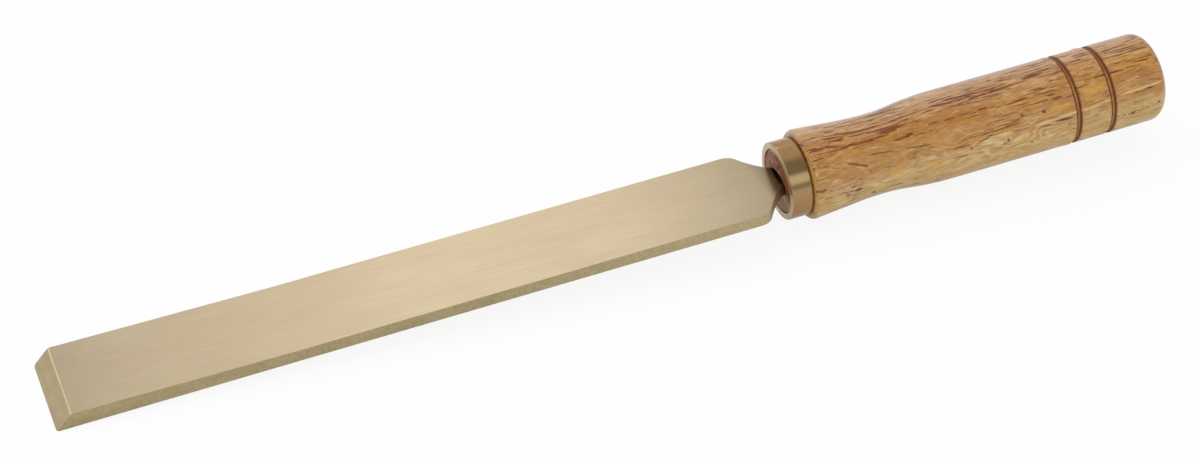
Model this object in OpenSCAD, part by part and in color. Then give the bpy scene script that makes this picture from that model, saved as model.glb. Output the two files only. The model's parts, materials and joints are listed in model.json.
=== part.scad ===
// Non-sparking scraper: a flat bronze blade and tang in one piece, a short ferrule,
// and a turned wooden handle with two burnt rings. It lies as it comes to rest on a
// flat surface: on the edge of its tip and on the front lip of the handle.

/* [Blade] */
// Width of the blade
blade_w = 30; // [20:0.5:50]
// Length from the cutting edge to the front of the ferrule
blade_len = 208; // [120:1:400]
// Thickness of the blade behind its tapered tip
blade_t = 3.4; // [2.5:0.1:5]
// Thickness at the tip, before the bevel is cut
tip_t = 4.4; // [3.6:0.1:8]
// Length over which the top face tapers down from the tip
taper_len = 65; // [30:1:80]
// Length of the bevel, measured along the underside
bevel_len = 4.6; // [2:0.1:12]
// Radius of the two tip corners, seen from above
tip_corner_r = 1; // [0.5:0.1:4]

/* [Shoulder and tang] */
// Distance from the start of the rounded shoulder to the ferrule
shoulder_len = 11; // [9:0.1:16]
// Radius of the outer corner of the shoulder
shoulder_r = 4.5; // [3:0.1:5.5]
// Radius of the hollow curve from the shoulder into the neck
neck_r = 30; // [20:0.5:34]
// Width of the neck where it enters the wood
neck_w = 8.8; // [7:0.1:11]
// Width of the tang where the neck has run out
tang_w = 5; // [3.5:0.1:6]
// Length of the tang behind the front of the ferrule
tang_len = 62; // [30:1:90]
// Width and thickness of the tang at its end
tang_end = 2.2; // [1:0.1:2.4]
// How far in front of the ferrule the tang starts to grow thinner
tang_start = 1; // [0.5:0.1:3]

/* [Ferrule] */
// Outer diameter of the ferrule
ferrule_d = 22.3; // [18:0.1:24]
// Wall thickness of the ferrule
ferrule_wall = 1.9; // [1:0.1:3]
// Length of the ferrule
ferrule_len = 6.4; // [4:0.1:16]
// Broken edge at the front of the ferrule
ferrule_chamfer = 0.3; // [0.1:0.05:0.45]

/* [Handle] */
// Length of the handle behind the ferrule
handle_len = 109.4; // [90:0.2:140]
// Diameter over the front lip
lip_d = 25.8; // [24.5:0.1:32]
// Radius of the rounded front lip
lip_r = 1.4; // [0.8:0.1:2]
// Diameter at the narrowest place of the waist
waist_d = 22.9; // [18:0.1:24]
// Distance from the front of the handle to the narrowest place
waist_at = 22.8; // [18:0.1:30]
// Radius of the waist curve in front of the narrowest place
waist_front_r = 100; // [60:1:140]
// Radius of the waist curve behind the narrowest place
waist_back_r = 60; // [40:1:90]
// Radius of the swell from the waist into the straight grip
swell_r = 100; // [60:1:140]
// Diameter of the straight grip
grip_d = 25.6; // [24.5:0.1:32]
// Radius of the rounded rear end
rear_r = 3.6; // [1:0.1:6]

/* [Rings] */
// Distance from the rear end to the last ring
ring_from_rear = 17.65; // [10:0.05:22]
// Distance between the rings
ring_pitch = 10.9; // [6:0.1:16]
// Number of rings burnt into the grip
ring_count = 2; // [1:1:2]
// Width of a ring
ring_w = 1.7; // [1:0.1:3]
// Depth of a ring
ring_depth = 0.6; // [0.2:0.05:0.8]

/* [Fits] */
// Gap all round between the wooden spigot and the ferrule
spigot_gap = 0.03; // [0.02:0.01:0.1]
// Gap between the corners of the neck and the mouth of its slot
corner_gap = 0.15; // [0.05:0.01:0.3]
// Gap above and below the middle of the neck in the mouth of its slot
arch_gap = 1.45; // [0.5:0.05:1.8]
// Gap beside the neck in the mouth of its slot
side_gap = 1.3; // [0.4:0.05:1.5]
// Gap all round between the tang and its hole in the wood
tang_gap = 0.15; // [0.05:0.01:0.25]
// How far the wooden end face lies behind the front of the ferrule
end_recess = 0.1; // [0.05:0.05:1]
// Broken edge round the wooden end face
end_chamfer = 0.5; // [0.2:0.05:0.8]

/* [Hidden] */

// Extra length of a cutting shape, so that it passes right through
past = 1;
// Points along each curve of an outline
curve_steps = 14;
// Fineness of the preview of a circle
$fn = 128;

// Places along the tool, from the cutting edge. Its axis runs through the middle of
// the blade's thickness and of the round handle.
side_end = blade_len - shoulder_len;
tang_root = blade_len - tang_start;
tang_tip = blade_len + tang_len;
handle_x = blade_len + ferrule_len;
handle_end = handle_x + handle_len;
under = -blade_t / 2;
slope_t = tip_t - blade_t;

// The shoulder is an S of two curves. The outer one has its centre level with the end
// of the straight side. The hollow one touches it and passes the corner of the neck.
shoulder_c = [side_end, blade_w / 2 - shoulder_r];
neck_p = [blade_len, neck_w / 2];
neck_reach = norm(shoulder_c - neck_p);
neck_open = acos((neck_reach ^ 2 + neck_r ^ 2 - (neck_r + shoulder_r) ^ 2) / (2 * neck_reach * neck_r));
neck_aim = atan2(shoulder_c.y - neck_p.y, shoulder_c.x - neck_p.x) - neck_open;
neck_c = neck_p + neck_r * [cos(neck_aim), sin(neck_aim)];
shoulder_turn = atan2(neck_c.y - shoulder_c.y, neck_c.x - shoulder_c.x);
neck_end_turn = asin((neck_c.y - tang_w / 2) / neck_r);
neck_end = neck_c.x - neck_r * cos(neck_end_turn);

// The curves of the handle. The straight taper touches both the lip and the waist,
// and the swell touches the waist and the straight grip.
lip_c = [handle_x + lip_r, lip_d / 2 - lip_r];
waist_x = handle_x + waist_at;
front_c = [waist_x, waist_d / 2 + waist_front_r];
front_aim = atan2(front_c.y - lip_c.y, front_c.x - lip_c.x);
front_fall = front_aim - asin((lip_r + waist_front_r) / norm(front_c - lip_c));
back_c = [waist_x, waist_d / 2 + waist_back_r];
swell_y = grip_d / 2 - swell_r;
swell_turn = acos((back_c.y - swell_y) / (waist_back_r + swell_r));
swell_c = [waist_x + (waist_back_r + swell_r) * sin(swell_turn), swell_y];
rear_c = [handle_end - rear_r, grip_d / 2 - rear_r];

// A ring is the mark of a round wire of this radius, laid round the grip
ring_r = (ring_w ^ 2 / 4 + ring_depth ^ 2) / (2 * ring_depth);
ring_y = grip_d / 2 - ring_depth + ring_r;

// The wooden spigot fills the ferrule, apart from its gap
spigot_d = ferrule_d - 2 * ferrule_wall - 2 * spigot_gap;

// The mouth of the slot is a lens of two arcs that pass the corners of the neck
arch_half = neck_w / 2 + corner_gap;
arch_rise = arch_gap - corner_gap;
arch_r = (arch_half ^ 2 + arch_rise ^ 2) / (2 * arch_rise);
arch_y = blade_t / 2 + arch_gap - arch_r;
mouth_end = neck_end + corner_gap;

// At rest the line from the tip's lower edge touches the lip from below
lip_fall = lip_c.y + under;
rest_tilt = atan(lip_fall / lip_c.x) + asin(lip_r / norm([lip_c.x, lip_fall]));
rest_len = rear_c.x * cos(rest_tilt) + (rear_c.y + under) * sin(rest_tilt) + rear_r;

// Lays the tool down, with the middle of its length over the origin
module at_rest() {
    translate([-rest_len / 2, 0, 0]) rotate([0, -rest_tilt, 0]) translate([0, 0, -under]) children();
}

// The points of a curve of radius r about c, from one angle to another
function curve(c, r, from, to) = [
    for (i = [0 : curve_steps])
        let (a = from + (to - from) * i / curve_steps)
            c + r * [cos(a), sin(a)]
];

// The same points on the other side of the tool, in the opposite order
function far_side(points) = [
    for (i = [len(points) - 1 : -1 : 0]) [points[i].x, -points[i].y]
];

// Turns an outline, drawn as distance along the tool and radius, about the tool's axis
module turned() {
    rotate([0, 90, 0]) rotate_extrude() mirror([1, -1, 0]) children();
}

// Pulls an outline that is seen from the side across the width
module across(width) {
    rotate([90, 0, 0]) linear_extrude(height = width, center = true) children();
}

// Half of the blade from above: tip corner, straight side, rounded shoulder and
// hollow neck, as far as the tang
function blade_side() = concat(
    curve([tip_corner_r, tip_corner_r - blade_w / 2], tip_corner_r, 180, 270),
    curve([shoulder_c.x, -shoulder_c.y], shoulder_r, -90, -shoulder_turn),
    curve([neck_c.x, -neck_c.y], neck_r, 180 - shoulder_turn, 180 - neck_end_turn)
);

module blade_from_above() {
    polygon(concat(blade_side(), far_side(blade_side())));
    tang_outline(0);
}

// The tang from above
module tang_outline(gap) {
    polygon([
        [neck_end, -tang_w / 2 - gap],
        [tang_tip + gap, -tang_end / 2 - gap],
        [tang_tip + gap, tang_end / 2 + gap],
        [neck_end, tang_w / 2 + gap]
    ]);
}

// The tang from the side
module tang_side(gap) {
    polygon([
        [tang_root, under - gap],
        [tang_tip + gap, -tang_end / 2 - gap],
        [tang_tip + gap, tang_end / 2 + gap],
        [tang_root, -under + gap]
    ]);
}

// The blade from the side: flat underside, tapered top and bevel
module blade_from_side() {
    polygon([
        [0, under],
        [tang_root, under],
        [tang_root, -under],
        [taper_len, -under],
        [bevel_len, under + tip_t - slope_t * bevel_len / taper_len]
    ]);
    tang_side(0);
}

// The mouth round the neck, seen along the tool: a lens with its points cut off
module mouth_outline() {
    intersection() {
        square([neck_w + 2 * side_gap, blade_t + 2 * arch_gap], center = true);
        translate([0, arch_y]) circle(arch_r);
        translate([0, -arch_y]) circle(arch_r);
    }
}

// The hole that the tang is driven into, and its mouth
module tang_hole() {
    intersection() {
        linear_extrude(height = 2 * blade_t, center = true) tang_outline(tang_gap);
        across(2 * tang_w) tang_side(tang_gap);
    }
    translate([blade_len - past, 0, 0])
        rotate([90, 0, 90]) linear_extrude(height = mouth_end - blade_len + past) mouth_outline();
}

// Half of the handle in section: the spigot with its broken edge, the lip, a straight
// taper, the waist, the swell, the straight grip and the rounded rear
module handle_outline() {
    polygon(concat(
        [
            [handle_end, 0],
            [blade_len + end_recess, 0],
            [blade_len + end_recess, spigot_d / 2 - end_chamfer],
            [blade_len + end_recess + end_chamfer, spigot_d / 2],
            [handle_x, spigot_d / 2]
        ],
        curve(lip_c, lip_r, 180, 90 + front_fall),
        curve(front_c, waist_front_r, 270 + front_fall, 270),
        curve(back_c, waist_back_r, 270, 270 + swell_turn),
        curve(swell_c, swell_r, 90 + swell_turn, 90),
        curve(rear_c, rear_r, 90, 0)
    ));
}

module blade() {
    color([0.76, 0.69, 0.54]) at_rest() intersection() {
        linear_extrude(height = 4 * tip_t, center = true) blade_from_above();
        across(2 * blade_w) blade_from_side();
    }
}

module ferrule() {
    inner = ferrule_d / 2 - ferrule_wall;
    outer = ferrule_d / 2;
    color([0.64, 0.53, 0.36]) at_rest() turned() polygon([
        [blade_len, inner + ferrule_chamfer],
        [blade_len, outer - ferrule_chamfer],
        [blade_len + ferrule_chamfer, outer],
        [handle_x, outer],
        [handle_x, inner],
        [blade_len + ferrule_chamfer, inner]
    ]);
}

module handle() {
    color([0.8, 0.6, 0.36]) at_rest() difference() {
        turned() handle_outline();
        for (i = [0 : ring_count - 1]) {
            turned() translate([handle_end - ring_from_rear - i * ring_pitch, ring_y]) circle(ring_r);
        }
        tang_hole();
    }
}

blade();
ferrule();
handle();
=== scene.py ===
import json
import math

import bmesh
import bpy
import numpy as np
from mathutils import Matrix, Vector


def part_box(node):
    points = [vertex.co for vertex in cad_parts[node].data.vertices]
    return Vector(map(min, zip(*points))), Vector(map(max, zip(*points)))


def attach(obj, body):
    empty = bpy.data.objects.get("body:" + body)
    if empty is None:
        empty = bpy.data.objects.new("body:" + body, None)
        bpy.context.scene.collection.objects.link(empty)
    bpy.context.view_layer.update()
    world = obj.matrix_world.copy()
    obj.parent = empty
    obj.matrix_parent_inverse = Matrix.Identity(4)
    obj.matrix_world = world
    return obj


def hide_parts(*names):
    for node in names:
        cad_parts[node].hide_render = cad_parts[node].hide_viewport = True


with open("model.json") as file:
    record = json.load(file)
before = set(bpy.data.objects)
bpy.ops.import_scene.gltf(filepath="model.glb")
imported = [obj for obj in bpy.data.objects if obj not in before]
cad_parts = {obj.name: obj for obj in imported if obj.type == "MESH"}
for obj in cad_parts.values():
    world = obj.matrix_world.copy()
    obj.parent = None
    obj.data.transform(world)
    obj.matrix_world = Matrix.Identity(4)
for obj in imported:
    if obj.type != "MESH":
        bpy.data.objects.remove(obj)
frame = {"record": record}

# The looks of a non-sparking scraper. Its pieces are drawn along the tool's own axis,
# x from the tip, in metres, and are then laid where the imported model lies.
MM = 0.001
SEED = 7

# Blade
BLADE_W = 30 * MM
BLADE_LEN = 208 * MM
BLADE_T = 3.4 * MM
TIP_T = 4.4 * MM
TAPER_LEN = 65 * MM
BEVEL_LEN = 4.6 * MM
BEVEL_EDGE = 0.22 * MM
TIP_CORNER_R = 1 * MM
SHOULDER_LEN = 11 * MM
SHOULDER_R = 4.5 * MM
NECK_R = 30 * MM
NECK_W = 8.8 * MM
TANG_W = 5 * MM
TANG_LEN = 62 * MM
TANG_END = 2.2 * MM
TANG_START = 1 * MM
RUBBED_EDGE = 0.22 * MM

# Ferrule
FERRULE_D = 22.3 * MM
FERRULE_WALL = 1.9 * MM
FERRULE_LEN = 6.4 * MM
FERRULE_EDGE = 0.3 * MM

# Handle
HANDLE_LEN = 109.4 * MM
LIP_D = 25.8 * MM
LIP_R = 1.4 * MM
WAIST_D = 22.9 * MM
WAIST_AT = 22.8 * MM
WAIST_FRONT_R = 100 * MM
WAIST_BACK_R = 60 * MM
SWELL_R = 100 * MM
GRIP_D = 25.6 * MM
REAR_R = 3.6 * MM
RING_FROM_REAR = 17.65 * MM
RING_PITCH = 10.9 * MM
RING_COUNT = 2
RING_W = 1.7 * MM
RING_DEPTH = 0.6 * MM
BURR_H = 0.22 * MM
SPIGOT_GAP = 0.03 * MM
CORNER_GAP = 0.15 * MM
ARCH_GAP = 1.45 * MM
SIDE_GAP = 1.3 * MM
TANG_GAP = 0.15 * MM
END_RECESS = 0.1 * MM
END_CHAMFER = 0.5 * MM

# Fineness of the meshes: points round the turned pieces, steps along the handle, steps at
# its burnt rings and how near a ring those are, steps across its front and rear faces, the
# distance at which points merge, a number that keeps a division from failing, and the
# angles in degrees from which edges are rubbed or sharp
FERRULE_AROUND = 160
HANDLE_AROUND = 336
HANDLE_STEP = 0.6 * MM
RING_STEP = 0.15 * MM
RING_NEAR = 1.2 * RING_W
FRONT_STEPS = 4
REAR_STEPS = 10
MERGE = 1e-7
TINY = 1e-6
RUBBED_FROM = 30
SHARP_FROM = 50

# The camera in the tool's own frame: its place, its turn, its lens and its near limit
CAMERA_AT = Vector((-29.0, -602.0, 463.7)) * MM
CAMERA_ROLL = 0.05
CAMERA_TURN = (53.496, 4.721, -20.504)
CAMERA_LENS = 85.79
SENSOR_W = 36
CLIP_START = 0.01

# Places along the tool
UNDER = -BLADE_T / 2
SIDE_END = BLADE_LEN - SHOULDER_LEN
TANG_ROOT = BLADE_LEN - TANG_START
TANG_TIP = BLADE_LEN + TANG_LEN
HANDLE_X = BLADE_LEN + FERRULE_LEN
HANDLE_END = HANDLE_X + HANDLE_LEN
SPIGOT_R = FERRULE_D / 2 - FERRULE_WALL - SPIGOT_GAP
RINGS = [HANDLE_END - RING_FROM_REAR - i * RING_PITCH for i in range(RING_COUNT)]


def tool_matrix():
    """The tool's own frame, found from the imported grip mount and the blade's tip."""
    grip = next(m for m in frame["record"]["mounts"] if m["name"] == "handle_grip")
    along = Vector(grip["axis"]).normalized()
    across = Vector((0, 1, 0))
    up = along.cross(across)
    low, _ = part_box("blade")
    on_axis = Vector(grip["pos_m"])
    start = on_axis + along * (Vector((low.x, 0, 0)) - on_axis).dot(along)
    turn = Matrix((along, across, up)).transposed().to_4x4()
    return Matrix.Translation(start) @ turn


TOOL = tool_matrix()


def arc(centre, radius, start, end, steps):
    """Points of an arc, from one angle to another, in degrees."""
    angles = [math.radians(start + (end - start) * i / steps) for i in range(steps + 1)]
    x, y = centre
    return [(x + radius * math.cos(a), y + radius * math.sin(a)) for a in angles]


def add_object(name, mesh):
    """A piece of the tool, laid down and riding on the one body."""
    mesh.transform(TOOL)
    piece = bpy.data.objects.new(name, mesh)
    bpy.context.scene.collection.objects.link(piece)
    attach(piece, "root")
    return piece


def smooth(mesh):
    mesh.polygons.foreach_set("use_smooth", [True] * len(mesh.polygons))


# Blade

def neck_curve():
    """Centre and turn of the hollow neck curve, which touches the shoulder's corner."""
    corner = Vector((SIDE_END, BLADE_W / 2 - SHOULDER_R))
    edge = Vector((BLADE_LEN, NECK_W / 2))
    gap = corner - edge
    reach = gap.length
    cosine = (reach ** 2 + NECK_R ** 2 - (NECK_R + SHOULDER_R) ** 2) / (2 * reach * NECK_R)
    aim = math.atan2(gap.y, gap.x) - math.acos(cosine)
    centre = edge + NECK_R * Vector((math.cos(aim), math.sin(aim)))
    turn = math.degrees(math.atan2(centre.y - corner.y, centre.x - corner.x))
    end_turn = math.degrees(math.asin((centre.y - TANG_W / 2) / NECK_R))
    return corner, centre, turn, end_turn


def blade_half():
    """Stations along one side of the blade: distance from the tip and half width."""
    corner, centre, turn, end_turn = neck_curve()
    half = BLADE_W / 2
    points = arc((TIP_CORNER_R, half - TIP_CORNER_R), TIP_CORNER_R, 180, 90, 8)
    points += [(BEVEL_LEN + BEVEL_EDGE * i / 3, half) for i in range(-3, 4)]
    points += [(TAPER_LEN / 2, half), (TAPER_LEN, half)]
    points += [(TAPER_LEN + (SIDE_END - TAPER_LEN) * i / 4, half) for i in range(1, 4)]
    points += arc(corner, SHOULDER_R, 90, turn, 16)
    points += arc(centre, NECK_R, 180 + turn, 180 + end_turn, 20)[1:]
    points += [(TANG_TIP, TANG_END / 2)]
    # The tang starts to thin inside the neck curve, so that place gets a station too
    before = max(i for i, p in enumerate(points) if p[0] < TANG_ROOT)
    (x0, y0), (x1, y1) = points[before], points[before + 1]
    share = (TANG_ROOT - x0) / (x1 - x0)
    points.insert(before + 1, (TANG_ROOT, y0 + (y1 - y0) * share))
    return points


def blade_heights(x):
    """Lowest and highest point of the blade at a distance from the tip."""
    fall = (BLADE_T - TIP_T) / TAPER_LEN
    peak = TIP_T + fall * BEVEL_LEN
    rise = peak / BEVEL_LEN
    past = x - BEVEL_LEN
    if abs(past) <= BEVEL_EDGE:
        cut = (rise - fall) * (past ** 2 + BEVEL_EDGE ** 2) / (4 * BEVEL_EDGE)
        return UNDER, UNDER + peak + (rise + fall) / 2 * past - cut
    if x <= BEVEL_LEN:
        return UNDER, UNDER + rise * x
    if x <= TAPER_LEN:
        return UNDER, UNDER + TIP_T + fall * x
    if x <= TANG_ROOT:
        return UNDER, -UNDER
    share = (x - TANG_ROOT) / (TANG_TIP - TANG_ROOT)
    half = BLADE_T / 2 + (TANG_END - BLADE_T) / 2 * share
    return -half, half


def make_blade():
    mesh = bpy.data.meshes.new("scraper_blade")
    work = bmesh.new()
    rows = []
    for x, y in blade_half():
        low, high = blade_heights(x)
        corners = [(x, -y, low), (x, -y, high), (x, y, high), (x, y, low)]
        rows.append([work.verts.new(c) for c in corners])
    ground, cast, bevel, edge = range(4)
    for a, b in zip(rows, rows[1:]):
        for i, finish in enumerate((cast, ground, cast, ground)):
            j = (i + 1) % 4
            face = work.faces.new((a[i], b[i], b[j], a[j]))
            face.material_index = finish
            # On the upper face, the bevel and then its broken edge, painted with a highlight, come
            # first
            if i == 1 and b[0].co.x < BEVEL_LEN - 0.9 * BEVEL_EDGE:
                face.material_index = bevel
            elif i == 1 and b[0].co.x < BEVEL_LEN + 1.1 * BEVEL_EDGE:
                face.material_index = edge
    work.faces.new(rows[-1])
    bmesh.ops.remove_doubles(work, verts=work.verts, dist=MERGE)
    bmesh.ops.recalc_face_normals(work, faces=work.faces)
    work.to_mesh(mesh)
    work.free()
    smooth(mesh)
    for material in (ground_bronze(), cast_bronze(), bevel_bronze(), rubbed_edge_highlight_bronze()):
        mesh.materials.append(material)
    blade = add_object("scraper_blade", mesh)
    edges = blade.modifiers.new("edges", "BEVEL")
    edges.width = RUBBED_EDGE
    edges.segments = 3
    edges.limit_method = "ANGLE"
    edges.angle_limit = math.radians(RUBBED_FROM)
    blade.modifiers.new("normals", "WEIGHTED_NORMAL")
    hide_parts("blade")


# Turned pieces

def turned_rings(profile, around):
    """Vertices and faces of an outline turned about the x axis, open at both ends."""
    x = np.array([p[0] for p in profile])
    r = np.array([p[1] for p in profile])
    angle = np.linspace(0, 2 * math.pi, around, endpoint=False)
    verts = np.empty((len(x), around, 3))
    verts[:, :, 0] = x[:, None]
    verts[:, :, 1] = -r[:, None] * np.sin(angle)[None, :]
    verts[:, :, 2] = r[:, None] * np.cos(angle)[None, :]
    index = np.arange(len(x) * around).reshape(len(x), around)
    nxt = np.roll(index, -1, axis=1)
    faces = np.stack([index[:-1], index[1:], nxt[1:], nxt[:-1]], axis=-1).reshape(-1, 4)
    return verts.reshape(-1, 3), faces


def make_ferrule():
    inner = FERRULE_D / 2 - FERRULE_WALL
    outer = FERRULE_D / 2
    edge = FERRULE_EDGE
    front = BLADE_LEN
    loop = arc((front + edge, outer - edge), edge, 180, 90, 5)
    loop += [(front + FERRULE_LEN * i / 6, outer) for i in range(1, 6)]
    loop += [(HANDLE_X - edge / 3, outer), (HANDLE_X, outer - edge / 3), (HANDLE_X, inner)]
    loop += [(front + FERRULE_LEN * i / 3, inner) for i in (2, 1)]
    loop += arc((front + edge, inner + edge), edge, 270, 180, 5)
    verts, faces = turned_rings(loop + loop[:1], FERRULE_AROUND)
    # The last ring lies on the first, so its points go and the faces close the loop
    count = len(verts) - FERRULE_AROUND
    faces = [[v % count for v in f] for f in faces.tolist()]
    mesh = bpy.data.meshes.new("scraper_ferrule")
    mesh.from_pydata(verts[:count].tolist(), [], faces)
    smooth(mesh)
    turned, faced = range(2)
    mesh.materials.append(turned_bronze())
    mesh.materials.append(faced_bronze())
    for face in mesh.polygons:
        face.material_index = faced if face.center.x < front + 0.25 * edge else turned
    ferrule = add_object("scraper_ferrule", mesh)
    fix_normals(mesh)
    ferrule.modifiers.new("normals", "WEIGHTED_NORMAL")
    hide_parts("ferrule")


def fix_normals(mesh):
    work = bmesh.new()
    work.from_mesh(mesh)
    bmesh.ops.recalc_face_normals(work, faces=work.faces)
    work.to_mesh(mesh)
    work.free()


# Handle

def handle_outline():
    """Key points of the handle's outline behind the ferrule: arcs and lines that touch."""
    lip = Vector((HANDLE_X + LIP_R, LIP_D / 2 - LIP_R))
    waist_x = HANDLE_X + WAIST_AT
    front = Vector((waist_x, WAIST_D / 2 + WAIST_FRONT_R))
    back = Vector((waist_x, WAIST_D / 2 + WAIST_BACK_R))
    gap = front - lip
    tangent = math.asin((LIP_R + WAIST_FRONT_R) / gap.length)
    fall = math.degrees(math.atan2(gap.y, gap.x) - tangent)
    reach = WAIST_BACK_R + SWELL_R
    swell_y = GRIP_D / 2 - SWELL_R
    turn = math.degrees(math.acos((back.y - swell_y) / reach))
    swell = (waist_x + reach * math.sin(math.radians(turn)), swell_y)
    rear = (HANDLE_END - REAR_R, GRIP_D / 2 - REAR_R)
    points = arc(lip, LIP_R, 180, 90 + fall, 10)
    points += arc(front, WAIST_FRONT_R, 270 + fall, 270, 12)
    points += arc(back, WAIST_BACK_R, 270, 270 + turn, 12)[1:]
    points += arc(swell, SWELL_R, 90 + turn, 90, 12)[1:]
    points += arc(rear, REAR_R, 90, 0, 14)
    return points


def ring_cut(x):
    """How much the burnt rings change the radius."""
    ring_r = (RING_W ** 2 / 4 + RING_DEPTH ** 2) / (2 * RING_DEPTH)
    change = 0
    for ring in RINGS:
        off = abs(x - ring)
        if off < RING_W / 2:
            change -= RING_DEPTH - ring_r + math.sqrt(ring_r ** 2 - off ** 2)
    return change


def handle_profile():
    """The outline with evenly spaced points, closer together at the rings."""
    key = handle_outline()
    fine = [key[0]]
    for (x0, r0), (x1, r1) in zip(key, key[1:]):
        length = math.hypot(x1 - x0, r1 - r0)
        if length < MERGE:
            continue
        at = 0
        while at < length:
            near = min(abs(x0 + (x1 - x0) * at / length - ring) for ring in RINGS)
            at += RING_STEP if near < RING_NEAR else HANDLE_STEP
            share = min(at, length) / length
            fine.append((x0 + (x1 - x0) * share, r0 + (r1 - r0) * share))
    return [(x, r + ring_cut(x)) for x, r in fine]


# Grain that stands out, as place along the tool and angle from the top in degrees,
# length in mm, slope in degrees, width in mm and strength. Read off the object.
STREAKS = [
    (219.5, 27.2, 11, 4, 0.6, 1), (224.5, 34.3, 6, -2, 0.5, 0.85), (231, 33.6, 10, 3, 0.55, 1),
    (223.5, 15.6, 7, 5, 0.45, 0.9), (229, 14.6, 6, 4, 0.45, 0.9), (218, 16.2, 6, 0, 0.35, 0.6),
    (235.5, 13.4, 8, 0, 0.45, 0.8), (246, 13.2, 13, 0, 0.45, 0.85), (255.5, 12.8, 6, 5, 0.5, 0.95),
    (263, 9.3, 11, 1, 0.45, 0.9), (217, 9.2, 5.5, -6, 0.45, 0.8), (242, 5.4, 7, 1, 0.45, 0.75),
    (223.5, 4.8, 4, 0, 0.55, 0.8), (229.5, 7, 3.5, 2, 0.45, 0.7), (236.5, 7.6, 4, 0, 0.4, 0.65),
    (246, 7.5, 5, 0, 0.4, 0.65), (229.5, -1, 3.5, 0, 0.45, 0.75), (233.5, -1, 2.4, 0, 0.5, 0.8),
    (236.5, -0.5, 3.6, 2, 0.5, 0.9), (255, 0.6, 5.5, 1, 0.45, 0.75),
    (245.5, -3.5, 4, -4, 0.4, 0.6), (250, 2.2, 4, 0, 0.4, 0.5), (238.5, 21.8, 12, 1, 0.6, 1),
    (240.5, 25.4, 10, 0, 0.75, 1), (239.5, 28.8, 6, -2, 0.55, 0.95), (246.5, 26, 6, 0, 0.8, 0.5),
    (247, 21.8, 7, 0, 0.5, 0.5), (243, 42.3, 7.5, -3, 0.6, 0.95), (235.5, 54.4, 8.5, 6, 0.5, 0.85),
    (246.3, 59.6, 8.5, 5, 0.5, 0.9), (228, 61, 8.5, 23, 0.65, 0.9),
    (221.5, 57.4, 6.5, 20, 0.4, 0.6), (218, 85, 5, 0, 0.6, 0.5), (252.2, 36, 4, -2, 0.5, 0.8),
    (257, 37, 4, 0, 0.55, 0.9), (261.5, 36, 3.6, 0, 0.5, 0.8), (264.5, 37.8, 2.6, 0, 0.5, 0.7),
    (267.5, 36, 3.6, -2, 0.55, 1), (264.5, 48.8, 2.5, 0, 0.4, 0.5), (266, 18.2, 4, -3, 0.5, 0.7),
    (262, 20.6, 3, 0, 0.45, 0.6), (258.5, 88.6, 7, 2, 0.5, 0.75),
    (265.5, 74.6, 4.5, -6, 0.5, 0.75), (262.9, 69, 2.2, 82, 0.5, 0.7),
    (261, 99, 12, -14, 0.5, 0.35), (270.8, 38, 4, 0, 0.45, 0.75),
    (277.4, 39.4, 8.5, -2, 0.45, 0.85), (279.7, 38.4, 3, 2, 0.45, 0.9),
    (284.9, 10.8, 7, -3, 0.7, 1), (277.3, 14.8, 5, 0, 0.5, 0.95), (271.2, 17.6, 5, -2, 0.5, 0.9),
    (273.6, -4.2, 2.6, 0, 0.6, 0.8), (278.6, -1.2, 5, 2, 0.5, 0.75), (287.8, -7, 2, 0, 0.8, 0.7),
    (282.5, 1, 4, 2, 0.45, 0.6), (290.3, 5.6, 4, 4, 0.6, 0.8), (290.5, 25.5, 7.5, 1, 0.4, 0.8),
    (297, 28.5, 4.5, 1, 0.4, 0.65), (290.3, 78.2, 5.5, 1, 0.7, 1),
    (284.8, 80.2, 4.5, -1, 0.5, 0.85), (289.5, 48, 3.6, 3, 0.5, 0.7), (283, 48.6, 5, 3, 0.9, 0.5),
    (275, 69.4, 4, 3, 0.6, 0.6), (310.4, 27.2, 4, 1, 0.4, 0.75), (320, 27, 4, -1, 0.4, 0.7),
    (317.2, 32.4, 5.2, 8, 0.45, 0.95), (313.2, 36.2, 4, 0, 0.4, 0.8),
    (319.5, 36.4, 6, 0, 0.4, 0.5), (312, 1.4, 10, -3, 0.6, 0.85), (301.6, -5.6, 6, -2, 0.6, 0.8),
    (309.4, -9.6, 5, 0, 0.6, 0.7), (318.6, -6, 5.5, -10, 0.6, 0.8), (310, 8.6, 7, -1, 0.4, 0.7),
    (299.5, 4.6, 7, -1, 0.55, 0.7), (302, 13.2, 8, 0, 0.35, 0.55), (318, 50.6, 6, 2, 0.45, 0.55),
    (314, 70.5, 8, -4, 0.4, 0.75), (317.6, 69, 3, -2, 0.5, 0.95), (311.8, 98.6, 3, -3, 0.5, 0.9),
    (305.5, 97, 1.6, 0, 0.4, 0.6), (318.4, 96.6, 1.4, 0, 0.4, 0.6), (300.5, 85.5, 5, -2, 0.4, 0.5),
    (298, 42, 5, 0, 0.4, 0.4), (320, 60, 5, 2, 0.4, 0.4),
]

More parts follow.
